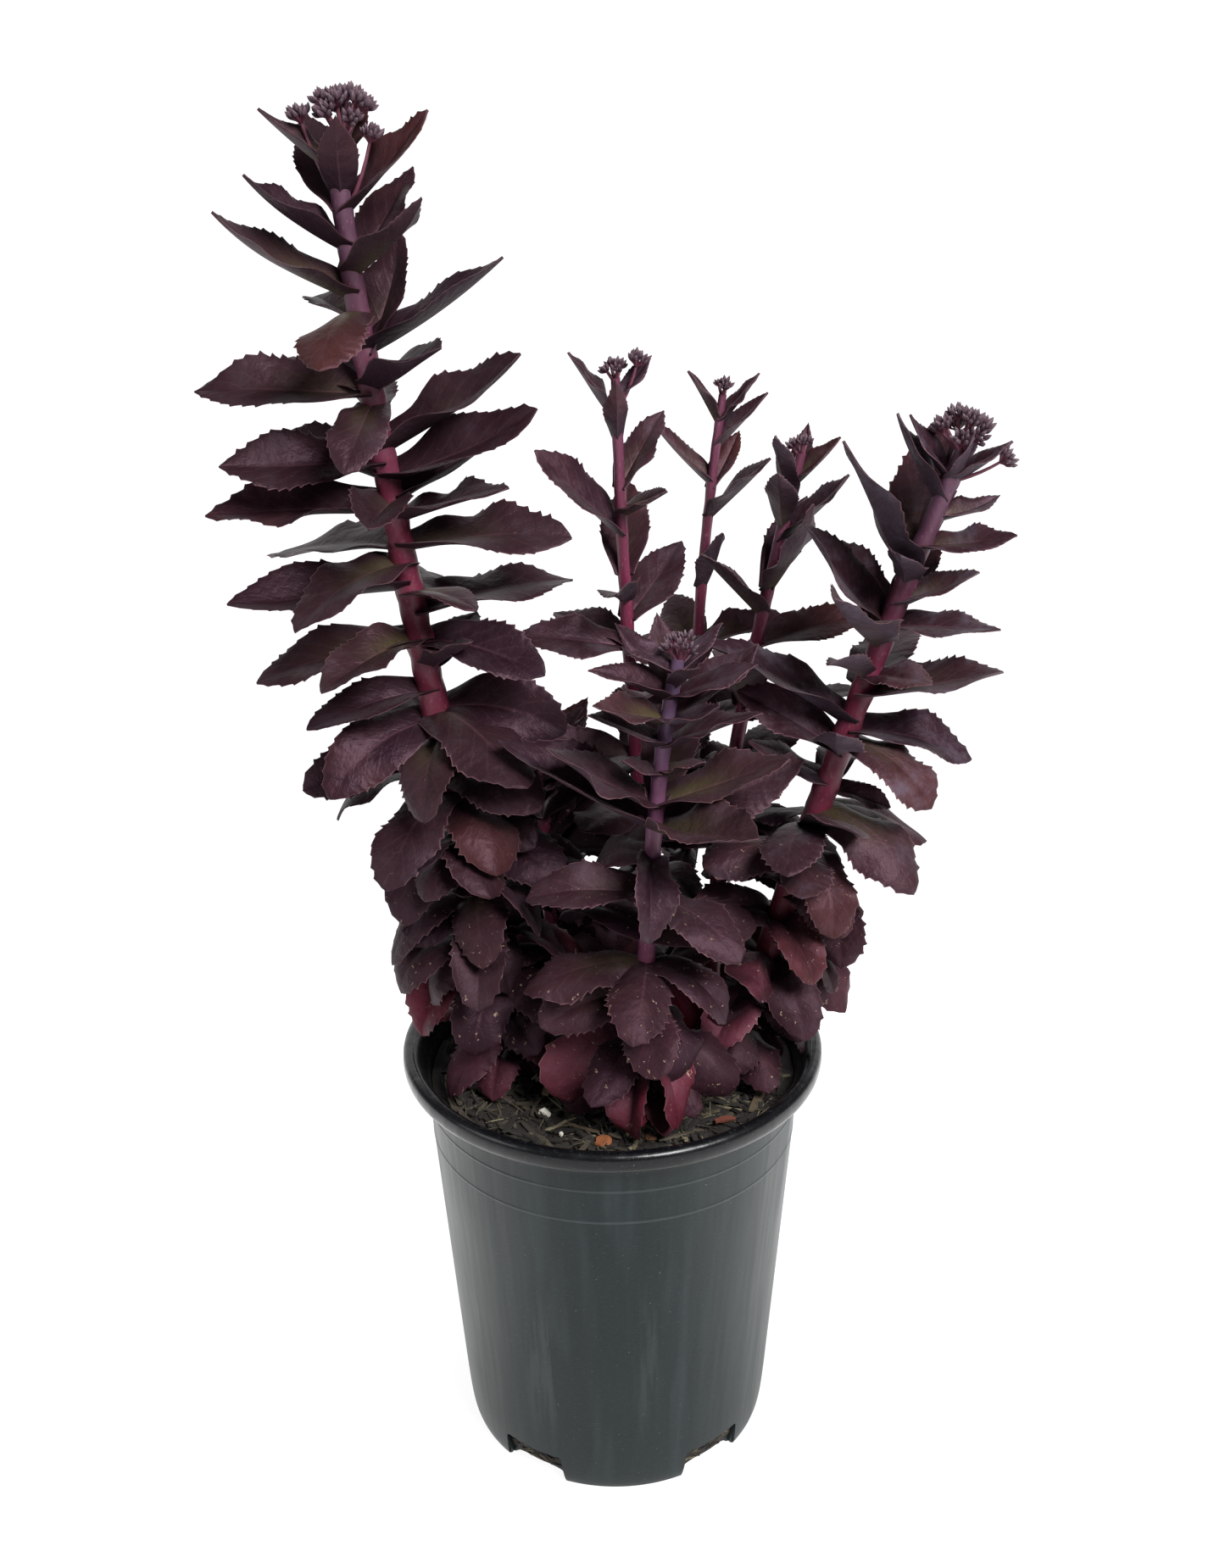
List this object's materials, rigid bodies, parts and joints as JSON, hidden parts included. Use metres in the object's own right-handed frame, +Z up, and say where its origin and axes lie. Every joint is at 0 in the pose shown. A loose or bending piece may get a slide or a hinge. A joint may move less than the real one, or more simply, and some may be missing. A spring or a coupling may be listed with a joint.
{
  "type": "potted chocolate fountain sedum",
  "caption": "Upright stonecrop with toothed brown-purple leaves in whorls and small flat heads of buds, growing in a round black nursery pot with drainage notches.",
  "frame": {"origin": "on the pot's axis, level with the surface that its feet stand on", "axes": "+Z up along the pot's axis; -Y towards the side that the picture shows; +X to the right of that view"},
  "size_m": [0.2751, 0.1722, 0.5251],
  "materials": {
    "pot": "satin, moulded, faintly scuffed",
    "potting_mix": "loose bark and peat, matt",
    "leafy_shoot": "fleshy leaf with a waxy bloom, satin",
    "flower_buds": "fine, matt"
  },
  "bodies": {
    "root": {"pot": "pot", "potting_mix": "potting_mix", "shoot_tall": "leafy_shoot", "shoot_front": "leafy_shoot", "shoot_right": "leafy_shoot", "shoot_back_left": "leafy_shoot", "shoot_back_mid": "leafy_shoot", "shoot_back_right": "leafy_shoot", "shoot_low": "leafy_shoot", "buds_tall": "flower_buds", "buds_front": "flower_buds", "buds_right": "flower_buds", "buds_back_left": "flower_buds", "buds_back_mid": "flower_buds", "buds_back_right": "flower_buds"}
  },
  "joints": []
}
